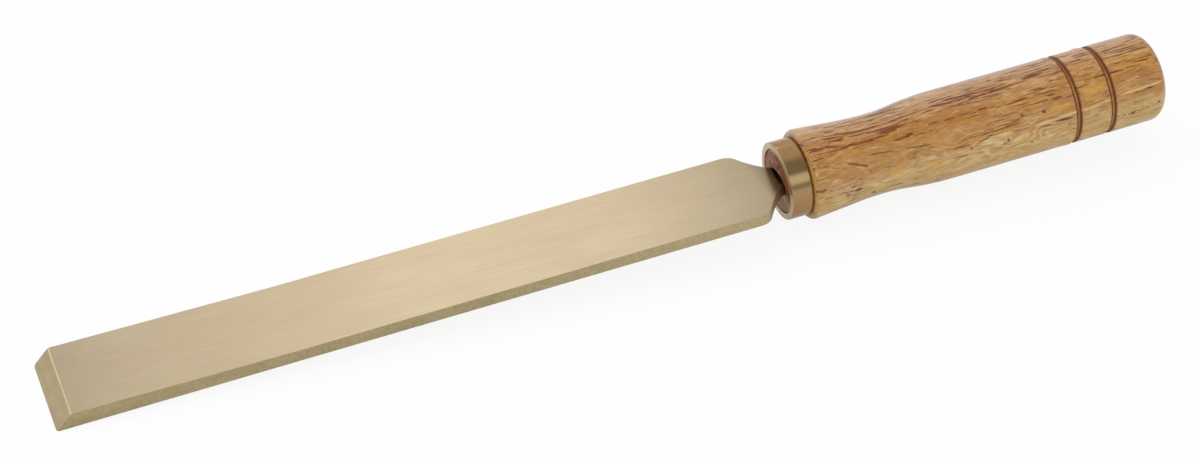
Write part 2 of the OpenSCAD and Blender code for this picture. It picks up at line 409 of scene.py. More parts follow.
# Open pores and small knots, filled dark, as place, angle, length, width and strength
PORES = [
    (223.8, 99, 1.4, 0.7, 0.7), (227.3, 96.8, 2.6, 0.7, 1), (232.5, 115, 1.3, 1.1, 0.8),
    (245, 109, 1.2, 0.8, 0.7), (252, 122, 2.5, 0.9, 0.6), (231.5, 75.5, 1.2, 0.7, 0.6),
    (223, 80, 0.9, 0.8, 0.6), (225.5, 69, 0.9, 0.8, 0.5), (244, 73, 1.3, 0.5, 0.5),
    (261.5, 81.5, 1.4, 0.9, 0.7), (264, 108, 2.2, 0.6, 0.5), (264.2, 21, 2.2, 0.7, 0.6),
    (284.6, 61, 1.4, 0.9, 1), (278, 58, 1, 0.8, 0.8), (272.9, 84.7, 1, 1.1, 0.95),
    (272.7, 80.5, 0.9, 0.8, 0.6), (280.2, 98.3, 1.3, 0.8, 0.8), (320.2, 92.7, 1.1, 0.9, 0.85),
    (284.8, 106, 1.2, 0.6, 0.5), (278, 104.7, 1.8, 0.5, 0.5), (291.9, 86, 1.2, 0.7, 0.5),
    (304, 100, 1, 0.7, 0.5), (299, 103, 1.2, 0.6, 0.4), (289.4, 48, 3, 0.7, 0.5),
    (315.6, 50, 1.2, 0.9, 0.6), (317.6, 69, 2.2, 0.5, 0.8), (305.8, 69, 1.2, 0.8, 0.7),
    (290.3, 78.3, 3.2, 0.5, 0.9), (312.2, 98.8, 1.4, 0.6, 1), (285, 10, 4, 0.5, 0.6),
    (307.5, 97.6, 0.9, 0.5, 0.8), (309.4, 98.2, 1, 0.5, 0.9), (314.1, 98, 1, 0.5, 0.9),
    (315.6, 97.4, 0.8, 0.5, 0.8), (316.9, 97.2, 1, 0.5, 0.9),
]

# Soft amber stains, as place, angle, length, slope, width and strength
STAINS = [
    (218, 85, 5, 2, 1.6, 0.6), (250, 89, 5, 0, 3, 0.8), (239.5, 88, 6, -6, 3, 0.8),
    (226, 20, 6, 0, 4, 0.4), (229, 66, 3, 20, 1.4, 0.9), (222, 60, 5, 15, 2, 0.4),
    (263, 72, 6, 0, 2.5, 0.7), (253, 64, 9, 3, 3, 0.5), (255, 74, 6, 0, 3, 0.4),
    (275, 69, 5, 2, 1.6, 0.9), (283, 48, 5, 0, 2.5, 0.6), (290, 62, 8, 4, 2, 0.8),
    (273, 78, 5, 10, 1.5, 0.8), (278, 82, 6, -14, 1.5, 0.7), (276, 90, 7, 6, 1.5, 0.6),
    (272, 63, 6, 0, 2.5, 0.5), (301, 50, 8, 0, 3, 0.9), (300, 62, 7, -4, 3, 0.7),
    (311, 62, 8, -3, 2.5, 0.6), (318, 33, 6, 4, 1.6, 0.8), (312, 36, 6, 2, 2, 0.6),
    (313, 22, 9, 0, 3, 0.4), (240, 33, 12, 0, 2, 0.35), (226, 45, 10, 0, 5, 0.35),
    (262, 48, 14, 0, 4, 0.3), (320, 45, 6, 0, 4, 0.4), (275, 35, 10, 0, 2.5, 0.35),
]

# Pale cream lines and patches, in the same form; the last one, round the lip, is a painted
# highlight
CREAM_AND_LIP_HIGHLIGHT = [
    (289, 74, 18, -3, 0.7, 1), (302, 71.5, 12, -7, 0.6, 1), (315, 67, 16, -3, 0.6, 1),
    (262, 99, 12, -16, 0.9, 0.6), (240, 95, 12, -8, 2.5, 0.6), (233, 100, 9, 30, 2.5, 0.5),
    (248, 79, 7, 0, 1.6, 0.6), (268, 82, 7, 10, 2.4, 0.8), (276, 86, 6, -20, 2, 0.6),
    (272, 76, 6, 0, 1.6, 0.6), (255, 82, 6, 0, 1.4, 0.5), (296, 38, 6, 4, 0.8, 0.5),
    (288, 36, 7, 3, 0.8, 0.4), (222, 77, 6, 30, 1.8, 0.4), (284, 96, 8, 0, 2, 0.5),
    (304, 92, 9, 0, 2.5, 0.4), (316, 80, 8, 0, 4, 0.3), (260, 107, 10, -12, 1.6, 0.5),
    (222, 110, 8, 40, 3, 0.5), (281, 66, 4, 0, 0.9, 0.5), (297, 58, 5, 0, 1, 0.4),
    # A painted highlight round the lip
    (215.5, 53, 7, 90, 0.6, 0.6),
]

# Small burrs of torn fibre beside the burnt rings, in the same form
BURRS = [
    (293.6, -34, 1.3, 0, 4, 0.5), (292.9, -20, 1, 0, 3, 0.4), (303.6, -36, 1.5, 0, 5, 1),
    (303.9, -16, 1.2, 0, 4, 0.6), (304.3, 20, 0.9, 0, 3, 0.5), (293.9, 40, 0.8, 0, 3, 0.5),
    (293.8, 150, 1.2, 0, 4, 0.6), (304, -120, 1.3, 0, 5, 0.7), (293.6, -90, 1, 0, 3, 0.5),
]

# Random marks, as how many and the ranges of length, width and strength, and the range of
# their slope. Between the two angles from the top where the lists above cover the wood,
# only a share of their strength is left.
LOOSE_STREAKS = (260, ((3, 11), (0.4, 0.8), (0.3, 0.9)))
LOOSE_PORES = (120, ((0.8, 2.5), (0.4, 0.8), (0.3, 0.9)))
LOOSE_STAINS = (45, ((8, 22), (1.2, 3), (0.2, 0.7)))
LOOSE_CREAM = (50, ((8, 24), (0.4, 1.3), (0.2, 0.7)))
LOOSE_SLOPE = (-4, 6)
LISTED = (-12, 125)
LISTED_SHARE = 0.45
# Fades a mark to half its strength at the edges of its width
HALF_FADE = 1.65

# Bands of tone along the handle: middle and half width, in degrees from the top
BANDS = {
    "golden": (47, 34), "golden_under": (-112, 26), "pale": (126, 40), "pale_under": (-165, 30),
    "top": (2, 32), "far": (-45, 32), "curly": (88, 22), "core": (72, 45), "rim": (85, 45),
}
BAND_SOFTNESS = 7

# The curly figure's middle and reach along the tool, in mm, how far a burnt ring and its
# lighter middle reach, as shares of half its width, the length of the stained rim behind
# the ferrule and how dark the painted shade at the seam in front of that rim is
CURLY_AT = 274
CURLY_REACH = 20
BURNT_REACH = 1.1
CORE_REACH = 0.34
RIM_LEN = 0.9 * MM
PAINTED_SEAM_SHADE = 0.42
# Where the end grain begins on the rounded rear edge, as a share of that edge, and over
# how much of it the side's grain fades out
END_FROM = 0.6
END_FADE = 0.35

# Spacing of the growth rings in the rear end, how wavy they are and where the tree's pith
# lies, across the tool's axis
GROWTH = 2.6 * MM
GROWTH_WAVER = 7
GROWTH_DETAIL = 3
PITH = (38 * MM, -16 * MM)


def wrap(angle):
    """An angle in degrees, brought between -180 and 180."""
    return (angle + 180) % 360 - 180


def marks(x, angle, radius, features):
    """A field from 0 to 1 that is high on each elongated mark."""
    field = np.zeros(len(x))
    for at, turn, length, slope, width, strength in features:
        along = x / MM - at
        across = np.radians(wrap(angle - turn)) * radius / MM
        tilt = math.radians(slope)
        u = along * math.cos(tilt) + across * math.sin(tilt)
        v = across * math.cos(tilt) - along * math.sin(tilt)
        shape = np.exp(-np.abs(2 * u / length) ** 4 - (HALF_FADE * v / width) ** 2)
        field = np.maximum(field, strength * shape)
    return field


def zone(angle, middle, reach):
    """1 in the middle of a band along the handle, 0.5 at its edges and 0 beyond them."""
    return 1 / (1 + np.exp((np.abs(wrap(angle - middle)) - reach) / BAND_SOFTNESS))


def loose_grain(count, ranges, rng):
    """Random marks, for the sides that the lists of marks don't cover."""
    features = []
    for _ in range(count):
        at = rng.uniform(HANDLE_X / MM, HANDLE_END / MM)
        turn = rng.uniform(-180, 180)
        length, width, strength = (rng.uniform(low, high) for low, high in ranges)
        if LISTED[0] < turn < LISTED[1]:
            strength *= LISTED_SHARE
        features.append((at, turn, length, rng.uniform(*LOOSE_SLOPE), width, strength))
    return features


def paint_handle(mesh):
    """Writes the wood's marks on the points of the handle and raises the burrs."""
    co = np.empty(len(mesh.vertices) * 3)
    mesh.vertices.foreach_get("co", co)
    co = co.reshape(-1, 3)
    x = co[:, 0]
    radius = np.hypot(co[:, 1], co[:, 2])
    angle = np.degrees(np.arctan2(-co[:, 1], co[:, 2]))
    rng = np.random.default_rng(SEED)
    dashes = STREAKS + loose_grain(*LOOSE_STREAKS, rng)
    dots = [(at, turn, length, 0, width, power) for at, turn, length, width, power in PORES]
    dots += loose_grain(*LOOSE_PORES, rng)
    stains = STAINS + loose_grain(*LOOSE_STAINS, rng)
    creams_and_highlight = CREAM_AND_LIP_HIGHLIGHT + loose_grain(*LOOSE_CREAM, rng)
    band = {name: zone(angle, *place) for name, place in BANDS.items()}
    off = np.min([np.abs(x - ring) for ring in RINGS], axis=0) / (RING_W / 2)
    outside = radius > SPIGOT_R
    rim = np.clip(1 - (x - HANDLE_X) / RIM_LEN, 0, 1) * outside * (0.3 + 0.4 * band["rim"])
    # Painted shade on the lip's flat front face, where it meets the ferrule
    seam_shade = PAINTED_SEAM_SHADE * (x < HANDLE_X + MERGE) * outside
    end = np.clip(((x - HANDLE_END + REAR_R) / REAR_R - END_FROM) / END_FADE, 0, 1)
    side = 1 - end
    curly = 0.3 + 0.7 * np.exp(-((x / MM - CURLY_AT) / CURLY_REACH) ** 2)
    fields = {
        "end": end,
        "streak_and_seam_shade": side * np.maximum(marks(x, angle, radius, dashes), seam_shade),
        "pore": side * marks(x, angle, radius, dots),
        "stain": side * np.maximum(marks(x, angle, radius, stains), rim),
        "cream_and_highlight": side * marks(x, angle, radius, creams_and_highlight),
        "golden": side * np.maximum(band["golden"], band["golden_under"]) + 0.5 * end,
        "pale": side * np.maximum(band["pale"], 0.8 * band["pale_under"]),
        "top": side * band["top"],
        "far": band["far"],
        "curly": curly * band["curly"],
        "burnt": np.exp(-(off / BURNT_REACH) ** 6),
        "burnt_core": np.exp(-(off / CORE_REACH) ** 4) * (0.35 + 0.65 * band["core"]),
    }
    for name, values in fields.items():
        mesh.attributes.new(name, "FLOAT", "POINT").data.foreach_set("value", values)
    lift = 1 + BURR_H * marks(x, angle, radius, BURRS) * outside / np.maximum(radius, MM)
    co[:, 1:] *= lift[:, None]
    mesh.vertices.foreach_set("co", co.ravel())


def mouth_reach(angle):
    """How far the arched mouth of the slot reaches from the axis, at an angle from the top."""
    half = NECK_W / 2 + CORNER_GAP
    rise = ARCH_GAP - CORNER_GAP
    radius = (half ** 2 + rise ** 2) / (2 * rise)
    middle = BLADE_T / 2 + ARCH_GAP - radius
    reach = (NECK_W / 2 + SIDE_GAP) / max(abs(math.sin(angle)), TINY)
    for centre in (middle, -middle):
        along = centre * math.cos(angle)
        reach = min(reach, along + math.sqrt(along ** 2 - centre ** 2 + radius ** 2))
    return reach


def mouth_loops(around):
    """The mouth of the slot on the end face and on its floor, a point for each of the rim."""
    _, centre, _, end_turn = neck_curve()
    neck_end = centre.x - NECK_R * math.cos(math.radians(end_turn))
    angles = [2 * math.pi * i / around for i in range(around)]
    points = [(-mouth_reach(a) * math.sin(a), mouth_reach(a) * math.cos(a)) for a in angles]
    return neck_end, [[(x, y, z) for y, z in points]
                      for x in (BLADE_LEN + END_RECESS, neck_end + CORNER_GAP)]


def hole_loops(neck_end):
    """The tang's hole, from the floor of its mouth to its end, as corner loops."""
    start = neck_end + CORNER_GAP
    share = (start - neck_end) / (TANG_TIP - neck_end)
    width = TANG_W + (TANG_END - TANG_W) * share + 2 * TANG_GAP
    share = (start - TANG_ROOT) / (TANG_TIP - TANG_ROOT)
    height = BLADE_T + (TANG_END - BLADE_T) * share + 2 * TANG_GAP
    end = TANG_END + 2 * TANG_GAP
    sizes = [(start, width, height), (TANG_TIP + TANG_GAP, end, end)]
    return [[(x, -w / 2, -h / 2), (x, -w / 2, h / 2), (x, w / 2, h / 2), (x, w / 2, -h / 2)]
            for x, w, h in sizes]


def handle_mesh():
    """The handle's points and faces, and how many of the faces are varnished wood."""
    around = HANDLE_AROUND
    face = BLADE_LEN + END_RECESS
    front = [(face, SPIGOT_R - END_CHAMFER), (face + END_CHAMFER, SPIGOT_R),
             (HANDLE_X, SPIGOT_R)]
    outside = handle_profile()
    step = (outside[0][1] - SPIGOT_R) / FRONT_STEPS
    shoulder = [(HANDLE_X, SPIGOT_R + step * i) for i in range(1, FRONT_STEPS)]
    rear_r = outside[-1][1]
    rear = [(HANDLE_END, rear_r * i / REAR_STEPS) for i in range(REAR_STEPS - 1, 0, -1)]
    verts, faces = turned_rings(front + shoulder + outside + rear, around)
    verts = verts.tolist()
    faces = faces.tolist()
    # The rear face closes at one point
    last = len(verts) - around
    pole = len(verts)
    verts.append((HANDLE_END, 0, 0))
    faces += [(last + i, pole, last + (i + 1) % around) for i in range(around)]
    varnished = len(faces)
    # The wooden end face and the wall of the mouth follow the points of the rim
    neck_end, mouth = mouth_loops(around)
    inner = 0
    for loop in mouth:
        start = len(verts)
        verts += loop
        for i in range(around):
            j = (i + 1) % around
            faces.append((inner + i, inner + j, start + j, start + i))
        inner = start
    # The mouth's floor reaches in to the corners of the tang's hole
    first = len(verts)
    for loop in hole_loops(neck_end):
        verts += loop
    for i in range(around):
        j = (i + 1) % around
        a, b = (first + nearest_corner(verts[inner + k]) for k in (i, j))
        faces.append((inner + i, inner + j, a))
        if a != b:
            faces.append((inner + j, b, a))
    for i in range(4):
        j = (i + 1) % 4
        faces.append((first + i, first + 4 + i, first + 4 + j, first + j))
    faces.append((first + 4, first + 5, first + 6, first + 7))
    return verts, faces, varnished


def make_handle():
    verts, faces, varnished = handle_mesh()
    mesh = bpy.data.meshes.new("scraper_handle")
    mesh.from_pydata(verts, [], faces)
    wood, bare = range(2)
    kinds = [wood] * varnished + [bare] * (len(faces) - varnished)
    mesh.polygons.foreach_set("material_index", kinds)
    smooth(mesh)
    fix_normals(mesh)
    mesh.materials.append(varnished_wood())
    mesh.materials.append(end_grain())
    paint_handle(mesh)
    handle = add_object("scraper_handle", mesh)
    handle.data.set_sharp_from_angle(angle=math.radians(SHARP_FROM))
    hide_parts("handle")


def nearest_corner(point):
    """Which corner of the tang's hole lies in the same quarter as a point."""
    _, y, z = point
    if y > 0:
        return 2 if z > 0 else 3
    return 1 if z > 0 else 0


# Materials

class Nodes:
    """A short way to add nodes to a material or to the world."""

    def __init__(self, owner):
        self.owner = owner
        self.tree = owner.node_tree
        self.own_frame = None

    def add(self, kind, **settings):
        node = self.tree.nodes.new(kind)
        for key, value in settings.items():
            setattr(node, key, value)
        return node

    def link(self, source, target):
        self.tree.links.new(source, target)

    def put(self, socket, value):
        if isinstance(value, bpy.types.NodeSocket):
            self.link(value, socket)
        else:
            socket.default_value = value

    def place(self, scale):
        """Coordinates in the tool's own frame, stretched by a scale for each axis."""
        if self.own_frame is None:
            back = TOOL.inverted()
            coords = self.add("ShaderNodeTexCoord")
            self.own_frame = self.add("ShaderNodeMapping")
            self.link(coords.outputs["Object"], self.own_frame.inputs["Vector"])
            self.own_frame.inputs["Location"].default_value = back.translation
            self.own_frame.inputs["Rotation"].default_value = back.to_euler()
        mapping = self.add("ShaderNodeMapping")
        self.link(self.own_frame.outputs["Vector"], mapping.inputs["Vector"])
        mapping.inputs["Scale"].default_value = scale
        return mapping.outputs["Vector"]

    def split(self, vector):
        """The sockets X, Y and Z of a vector."""
        node = self.add("ShaderNodeSeparateXYZ")
        self.link(vector, node.inputs["Vector"])
        return node.outputs

    def noise(self, scale, detail=3, roughness=0.5, distortion=0.0):
        node = self.add("ShaderNodeTexNoise")
        self.link(self.place(scale), node.inputs["Vector"])
        node.inputs["Scale"].default_value = 1.0
        node.inputs["Detail"].default_value = detail
        node.inputs["Roughness"].default_value = roughness
        node.inputs["Distortion"].default_value = distortion
        return node.outputs["Fac"]

    def growth_rings(self):
        """Growth rings about the tree's pith, as a wave from 0 to 1. Blender's wave node
        draws 20 / (2 * pi) of them in a metre at a scale of 1."""
        shift = self.add("ShaderNodeMapping")
        self.link(self.place((1, 1, 1)), shift.inputs["Vector"])
        shift.inputs["Location"].default_value = (0, -PITH[0], -PITH[1])
        node = self.add("ShaderNodeTexWave", wave_type="RINGS", rings_direction="X")
        self.link(shift.outputs["Vector"], node.inputs["Vector"])
        node.inputs["Scale"].default_value = 2 * math.pi / (20 * GROWTH)
        node.inputs["Distortion"].default_value = GROWTH_WAVER
        node.inputs["Detail"].default_value = GROWTH_DETAIL
        return node.outputs["Fac"]

    def contours(self, field, count):
        """Wavy contour lines of a field, as a wave from 0 to 1."""
        return self.spread(self.math("SINE", self.math("MULTIPLY", field, count), 0), -1, 1)

    def attribute(self, name):
        return self.add("ShaderNodeAttribute", attribute_name=name).outputs["Fac"]

    def mark(self, name, edge, low, high, top, fade):
        """A painted mark whose edge is made ragged by a noise, and nothing outside it."""
        field = self.attribute(name)
        ragged = self.spread(self.math("ADD", field, edge), low, high, 0, top)
        return self.math("MULTIPLY", ragged, self.spread(field, *fade))

    def spread(self, value, low, high, to_low=0.0, to_high=1.0, smooth_step=False):
        """A value between two limits, turned into one between two others."""
        node = self.add("ShaderNodeMapRange", clamp=True)
        if smooth_step:
            node.interpolation_type = "SMOOTHSTEP"
        self.put(node.inputs["Value"], value)
        node.inputs["From Min"].default_value = low
        node.inputs["From Max"].default_value = high
        node.inputs["To Min"].default_value = to_low
        node.inputs["To Max"].default_value = to_high
        return node.outputs["Result"]

    def math(self, operation, a, b):
        node = self.add("ShaderNodeMath", operation=operation)
        self.put(node.inputs[0], a)
        self.put(node.inputs[1], b)
        return node.outputs[0]

    def mix(self, amount, a, b):
        node = self.add("ShaderNodeMix", data_type="RGBA")
        self.put(node.inputs["Factor"], amount)
        self.put(node.inputs["A"], a)
        self.put(node.inputs["B"], b)
        return node.outputs["Result"]

    def bump(self, height, strength, distance, under=None):
        node = self.add("ShaderNodeBump")
        self.link(height, node.inputs["Height"])
        node.inputs["Strength"].default_value = strength
        node.inputs["Distance"].default_value = distance
        if under:
            self.link(under, node.inputs["Normal"])
        return node.outputs["Normal"]

    def choose(self, switch, off, on):
        """One shader or another, or a mixture, by a switch from 0 to 1."""
        node = self.add("ShaderNodeMixShader")
        self.put(node.inputs["Fac"], switch)
        self.link(off, node.inputs[1])
        self.link(on, node.inputs[2])
        return node.outputs["Shader"]

    def finish(self, color, roughness, normal=None, **constants):
        shader = self.tree.nodes["Principled BSDF"]
        self.put(shader.inputs["Base Color"], color)
        self.put(shader.inputs["Roughness"], roughness)
        if normal:
            self.link(normal, shader.inputs["Normal"])
        for name, value in constants.items():
            shader.inputs[name.replace("_", " ")].default_value = value
        return self.owner


def new_material(name):
    material = bpy.data.materials.new(name)
    material.use_nodes = True
    return Nodes(material)


def rgb(red, green, blue):
    """A colour as it shows on a screen, from 0 to 255, turned into scene values."""
    def linear(c):
        c /= 255
        return c / 12.92 if c <= 0.04045 else ((c + 0.055) / 1.055) ** 2.4
    return (linear(red), linear(green), linear(blue), 1)


# Places along the blade between which a tone comes or goes: a painted shade behind the
# tip, a painted shade and satin at the shoulder, a painted shade and dark reflection on the
# neck at the ferrule, and the paler sides
BLADE_PAINTED_SHADE_IN = (22 * MM, 40 * MM)
BLADE_PAINTED_SHADE_OUT = (80 * MM, 98 * MM)
SHADE = (165 * MM, 200 * MM)
SATIN = (190 * MM, 205 * MM)
NECK_PAINTED_SHADE = (202 * MM, 208.5 * MM)
PALER_SIDES = (100 * MM, 190 * MM)
# Reaches across the tool's axis in the same way: towards the camera for the ferrule's
# painted reflection tone and the bare end grain's painted shade, and down for that grain's painted
# light
FERRULE_PAINTED_REFLECTION = (11 * MM, 13.2 * MM)
GRAIN_PAINTED_SHADE = (2.5 * MM, 5 * MM)
GRAIN_PAINTED_LIGHT = (0, -3 * MM)


def ground_bronze():
    """The ground faces: fine lengthwise scratches, soft clouds of tone and painted shade along the
    blade.
    """
    n = new_material("ground_bronze")
    clouds = n.noise((18, 60, 60), detail=3)
    blush = n.noise((60, 120, 120), detail=3)
    scratches = n.noise((60, 3200, 3200), detail=4, roughness=0.7)
    tone = n.mix(n.spread(clouds, 0.3, 0.7), rgb(184, 166, 137), rgb(188, 172, 142))
    tone = n.mix(n.spread(blush, 0.42, 0.7, 0.0, 0.45), tone, rgb(180, 160, 136))
    tone = n.mix(n.spread(scratches, 0.4, 0.75, 0.0, 0.14), tone, rgb(155, 138, 109))
    along = n.split(n.place((1, 1, 1)))["X"]
    # Painted shade on the top, from behind the tip to about the middle of the blade
    blade_painted_shade = n.math("MULTIPLY", n.spread(along, *BLADE_PAINTED_SHADE_IN, 0, 0.5), n.spread(along, *BLADE_PAINTED_SHADE_OUT, 1, 0))
    tone = n.mix(blade_painted_shade, tone, rgb(172, 154, 126))
    tone = n.mix(n.spread(along, *SHADE, 0, 0.4), tone, rgb(160, 143, 115))
    # Painted shade and dark reflection on the neck next to the ferrule
    tone = n.mix(n.spread(along, *NECK_PAINTED_SHADE, 0, 0.75), tone, rgb(104, 84, 58))
    rough = n.spread(scratches, 0.3, 0.7, 0.13, 0.19)
    rough = n.math("ADD", rough, n.spread(along, *SATIN, 0, 0.07))
    normal = n.bump(scratches, 0.12, 0.02 * MM)
    return n.finish(tone, rough, normal, Metallic=1.0)


def cast_bronze():
    """The narrow sides: a skin of small pits, a little darker and greener."""
    n = new_material("cast_bronze")
    pits = n.noise((1500, 1500, 1500), detail=5, roughness=0.7)
    clouds = n.noise((90, 200, 200), detail=3)
    tone = n.mix(n.spread(clouds, 0.3, 0.7), rgb(175, 160, 122), rgb(188, 172, 134))
    along = n.split(n.place((1, 1, 1)))["X"]
    tone = n.mix(n.spread(along, *PALER_SIDES, 0, 0.7), tone, rgb(196, 180, 140))
    tone = n.mix(n.spread(pits, 0.5, 0.75, 0.0, 0.5), tone, rgb(131, 115, 80))
    rough = n.spread(pits, 0.3, 0.7, 0.42, 0.58)
    normal = n.bump(pits, 0.5, 0.08 * MM)
    return n.finish(tone, rough, normal, Metallic=1.0)


def bevel_bronze():
    """The bevel at the tip: scratched across from the grinding wheel."""
    n = new_material("bevel_bronze")
    scratches = n.noise((2600, 70, 2600), detail=4, roughness=0.7)
    clouds = n.noise((200, 200, 200), detail=3)
    tone = n.mix(n.spread(clouds, 0.3, 0.7), rgb(186, 168, 128), rgb(197, 180, 142))
    tone = n.mix(n.spread(scratches, 0.4, 0.8, 0.0, 0.5), tone, rgb(150, 132, 94))
    normal = n.bump(scratches, 0.25, 0.03 * MM)
    return n.finish(tone, n.spread(scratches, 0.3, 0.7, 0.3, 0.45), normal, Metallic=1.0)


def rubbed_edge_highlight_bronze():
    """The rubbed edges, a little yellower, with a pale tone that paints their highlight."""
    n = new_material("rubbed_edge_highlight_bronze")
    wear = n.noise((200, 250, 250), detail=2)
    # A pale tone that paints the edge's highlight
    tone = n.mix(n.spread(wear, 0.35, 0.7), rgb(222, 206, 168), rgb(208, 192, 150))
    return n.finish(tone, n.spread(wear, 0.3, 0.7, 0.34, 0.42), None, Metallic=1.0)


def turned_bronze():
    """The ferrule: fine rings from turning, and a greyer painted reflection tone where it faces
    the camera.
    """
    n = new_material("turned_bronze")
    rings = n.noise((5200, 30, 30), detail=4, roughness=0.7)
    clouds = n.noise((120, 160, 160), detail=3)
    tone = n.mix(n.spread(clouds, 0.3, 0.7), rgb(174, 135, 89), rgb(180, 143, 97))
    _, y, z = n.split(n.place((1, 1, 1)))
    # Painted reflection: a greyer tone on the side that faces the camera
    reflection_side = n.math("SUBTRACT", n.math("MULTIPLY", z, 0.65), y)
    tone = n.mix(n.spread(reflection_side, *FERRULE_PAINTED_REFLECTION, 0, 0.8), tone, rgb(168, 147, 106))
    tone = n.mix(n.spread(rings, 0.35, 0.8, 0.0, 0.25), tone, rgb(144, 118, 78))
    normal = n.bump(rings, 0.02, 0.01 * MM)
    return n.finish(tone, n.spread(rings, 0.3, 0.7, 0.15, 0.2), normal, Metallic=1.0)


def faced_bronze():
    """The front face of the ferrule, in a paler tone."""
    n = new_material("faced_bronze")
    grain = n.noise((400, 1600, 1600), detail=4)
    tone = n.mix(n.spread(grain, 0.3, 0.7), rgb(214, 201, 172), rgb(196, 181, 150))
    return n.finish(tone, n.spread(grain, 0.3, 0.7, 0.3, 0.45), None, Metallic=1.0)


def varnished_wood():
    """Golden open-pored wood under a clear varnish, with burnt rings. The marks on its
    points say where the figure is, and noise makes their edges ragged."""
    n = new_material("varnished_wood")
    broad = n.noise((25, 150, 150), detail=4, roughness=0.6, distortion=0.8)
    band = n.noise((38, 620, 620), detail=4, roughness=0.6, distortion=0.3)
    cloud = n.noise((95, 420, 420), detail=4, roughness=0.6, distortion=1.4)
    line = n.noise((100, 1650, 1650), detail=3, roughness=0.6, distortion=0.25)
    group = n.noise((42, 260, 260), detail=2)
    fine = n.noise((480, 3200, 3200), detail=3, roughness=0.65)
    ragged = n.noise((560, 3000, 3000), detail=4, roughness=0.7)
    figure = n.contours(n.noise((55, 190, 190), detail=1, distortion=0.6), 60)

    # Zones, from the pinkish far side over the top and through gold to the pale side; the far
    # side's pink paleness is partly a painted varnish sheen
    sway = n.spread(broad, 0.25, 0.75, -0.4, 0.4)
    golden = n.spread(n.math("ADD", n.attribute("golden"), sway), 0.1, 0.9)
    pale = n.spread(n.math("ADD", n.attribute("pale"), sway), 0.1, 0.9)
    tone = n.mix(n.attribute("far"), rgb(178, 137, 96), rgb(184, 151, 126))
    tone = n.mix(golden, tone, rgb(170, 117, 53))
    tone = n.mix(pale, tone, rgb(196, 163, 100))

    # Bands and clouds, darker and lighter than the zone, and contours on the pale side
    tone = n.mix(n.spread(band, 0.5, 0.7, 0, 0.4), tone, rgb(146, 90, 42))
    tone = n.mix(n.spread(band, 0.5, 0.3, 0, 0.25), tone, rgb(216, 174, 110))
    tone = n.mix(n.spread(cloud, 0.52, 0.7, 0, 0.5), tone, rgb(176, 112, 48))
    tone = n.mix(n.spread(cloud, 0.47, 0.3, 0, 0.45), tone, rgb(222, 188, 128))
    curls = n.math("MULTIPLY", n.attribute("curly"), n.spread(figure, 0.6, 0.95, 0, 0.5))
    tone = n.mix(curls, tone, rgb(232, 206, 152))
    curls = n.math("MULTIPLY", n.attribute("curly"), n.spread(figure, 0.3, 0.02, 0, 0.35))
    tone = n.mix(curls, tone, rgb(178, 126, 62))

    # End grain at the rear
    rings = n.spread(n.growth_rings(), 0.35, 1)
    end = n.mix(n.spread(cloud, 0.3, 0.7), rgb(188, 144, 88), rgb(172, 124, 68))
    end = n.mix(n.math("MULTIPLY", rings, 0.6), end, rgb(142, 92, 46))
    tone = n.mix(n.attribute("end"), tone, end)

    # Stains, and cream patches with a painted highlight round the lip
    soft = n.spread(cloud, 0.3, 0.7, -0.35, 0.35)
    fade = (0.02, 0.3)
    tone = n.mix(n.mark("stain", soft, 0.2, 0.85, 0.75, fade), tone, rgb(206, 152, 64))
    tone = n.mix(n.mark("cream_and_highlight", soft, 0.25, 0.8, 0.6, fade), tone, rgb(232, 206, 154))

    # Fine dark dashes that gather in groups, most of them on top
    near_top = n.spread(n.attribute("top"), 0, 1, -0.03, 0.05)
    gather = n.spread(group, 0.35, 0.65, -0.06, 0.06)
    dashes = n.math("ADD", line, n.math("ADD", near_top, gather))
    tone = n.mix(n.spread(dashes, 0.6, 0.64, 0, 0.9), tone, rgb(104, 47, 14))
    tone = n.mix(n.spread(fine, 0.54, 0.7, 0.0, 0.5), tone, rgb(128, 78, 38))
    tone = n.mix(n.spread(fine, 0.46, 0.3, 0.0, 0.25), tone, rgb(236, 208, 162))

    # Single dark streaks and open pores; the streaks also carry the painted shade at the lip's
    # seam
    crisp = n.spread(ragged, 0.3, 0.7, -0.3, 0.3)
    fade = (0.05, 0.3)
    streak_and_seam_shade = n.mark("streak_and_seam_shade", crisp, 0.42, 0.64, 1, fade)
    char = n.mix(n.attribute("golden"), rgb(88, 38, 10), rgb(124, 60, 12))
    tone = n.mix(n.math("MULTIPLY", streak_and_seam_shade, 0.92), tone, char)
    pore = n.mark("pore", crisp, 0.4, 0.65, 1, fade)
    tone = n.mix(pore, tone, rgb(92, 60, 28))

    # The burnt rings have a lighter middle
    burnt = n.math("MULTIPLY", n.attribute("burnt"), n.spread(ragged, 0.25, 0.6, 0.8, 1))
    tone = n.mix(burnt, tone, rgb(98, 42, 10))
    core = n.math("MULTIPLY", n.attribute("burnt_core"), n.spread(ragged, 0.35, 0.65, 0.4, 1))
    tone = n.mix(core, tone, rgb(194, 144, 90))

    # Streaks and pores are sunk, the varnish is a little wavy and the rings have hardly any
    dents = n.math("ADD", n.math("MULTIPLY", streak_and_seam_shade, -0.5), n.math("MULTIPLY", pore, -1.0))
    normal = n.bump(dents, 0.35, 0.08 * MM)
    waves = n.noise((60, 160, 160), detail=2)
    normal = n.bump(waves, 0.25, 0.25 * MM, under=normal)
    shader = n.tree.nodes["Principled BSDF"]
    n.link(n.spread(n.attribute("burnt"), 0, 0.8, 0.55, 0.05), shader.inputs["Coat Weight"])
    rough = n.spread(band, 0.3, 0.7, 0.42, 0.55)
    return n.finish(tone, rough, normal, Coat_Roughness=0.1, Coat_IOR=1.5, Specular_IOR_Level=0.15)


